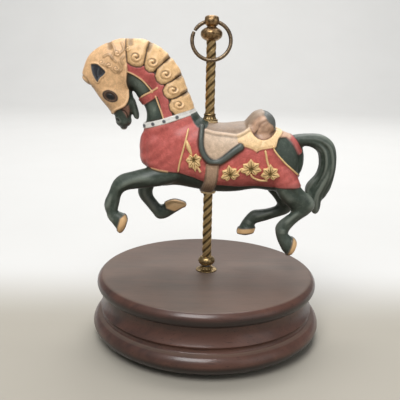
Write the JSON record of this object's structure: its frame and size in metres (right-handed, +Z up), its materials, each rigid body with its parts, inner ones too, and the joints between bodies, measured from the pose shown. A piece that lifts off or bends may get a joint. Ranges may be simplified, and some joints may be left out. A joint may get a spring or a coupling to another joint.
{
  "type": "carousel music box",
  "caption": "Key-wound musical figure: a turned round base holds the movement, which turns a twisted pole carrying a painted carousel horse, a finial and a hanging ring.",
  "frame": {"origin": "on the pole's axis, in the plane of the felt ring's underside, where the box rests on a table", "axes": "+Z up along the pole, -X towards the horse's head, +X towards its tail, -Y towards the side that shows the hanging ring"},
  "size_m": [0.1644, 0.1524, 0.2082],
  "materials": {
    "mahogany": "satin lacquer over dark red-brown stain",
    "hardboard": "bare pressed board",
    "felt": "matt felt",
    "plated_steel": "zinc plated",
    "cast_zinc": "bare die casting, matt",
    "spring_steel": "ground, oiled",
    "plain_brass": "machined, satin",
    "fly_plastic": "moulded",
    "antique_brass": "aged, dark in the grooves, rubbed on the crests",
    "dark_bronze": "dark bronzed, satin",
    "ring_wire": "dull plated wire",
    "cream_collar": "cream, satin",
    "painted_resin": "hand painted, matt: green horse, tan mane, red and ochre trappings, gold trim"
  },
  "bodies": {
    "base": {"base_body": "mahogany", "base_cover": "hardboard", "cover_screws": "plated_steel", "felt_ring": "felt", "pole_bush": "plain_brass", "foot_flange": "antique_brass", "movement_bedplate": "cast_zinc", "movement_screws": "plated_steel", "comb": "spring_steel", "comb_screws": "plated_steel", "barrel_bridge": "plated_steel", "bridge_screws": "plated_steel", "governor_frame": "plated_steel", "governor_screw": "plated_steel"},
    "carousel": {"spring_barrel": "plain_brass", "crown_wheel": "plain_brass", "mainspring": "spring_steel", "drive_spindle": "plated_steel", "centre_rod": "plated_steel", "foot_ball": "antique_brass", "lower_pole_sleeve": "antique_brass", "lower_collar": "cream_collar", "horse": "painted_resin", "upper_washer": "cream_collar", "upper_collar": "antique_brass", "upper_pole_sleeve": "antique_brass", "finial": "dark_bronze"},
    "ring": {"finial_ring": "ring_wire"},
    "key": {"winding_key": "plain_brass", "winding_arbor": "plated_steel"},
    "cylinder": {"music_cylinder": "plain_brass", "cylinder_shaft": "plated_steel", "cylinder_pinion": "plain_brass", "cylinder_gear": "plain_brass"},
    "governor": {"governor_arbor": "plated_steel", "governor_pinion": "plain_brass", "worm_wheel": "plain_brass"},
    "fly": {"governor_worm": "plain_brass", "air_fly": "fly_plastic"}
  },
  "joints": [
    {"name": "carousel_spin", "type": "hinge", "parent": "base", "child": "carousel", "pos_m": [0, 0, 0.0422], "axis": [0, 0, 1], "continuous": true},
    {"name": "ring_swing", "type": "hinge", "parent": "carousel", "child": "ring", "pos_m": [0, 0, 0.2047], "axis": [-1, 0, 0], "range_deg": [0, 337]},
    {"name": "key_wind", "type": "hinge", "parent": "base", "child": "key", "pos_m": [0, 0, 0.01], "axis": [0, 0, 1], "continuous": true},
    {"name": "cylinder_turn", "type": "hinge", "parent": "base", "child": "cylinder", "pos_m": [0.0282, 0, 0.0265], "axis": [1, 0, 0], "continuous": true},
    {"name": "governor_turn", "type": "hinge", "parent": "base", "child": "governor", "pos_m": [0.034, 0.0096, 0.0265], "axis": [1, 0, 0], "continuous": true},
    {"name": "fly_spin", "type": "hinge", "parent": "base", "child": "fly", "pos_m": [0.031, 0.0142, 0.0265], "axis": [0, 0, 1], "continuous": true}
  ],
  "couplings": [
    {"joint": "cylinder_turn", "follows": "carousel_spin", "ratio": -3},
    {"joint": "governor_turn", "follows": "carousel_spin", "ratio": 9},
    {"joint": "fly_spin", "follows": "carousel_spin", "ratio": -108}
  ]
}
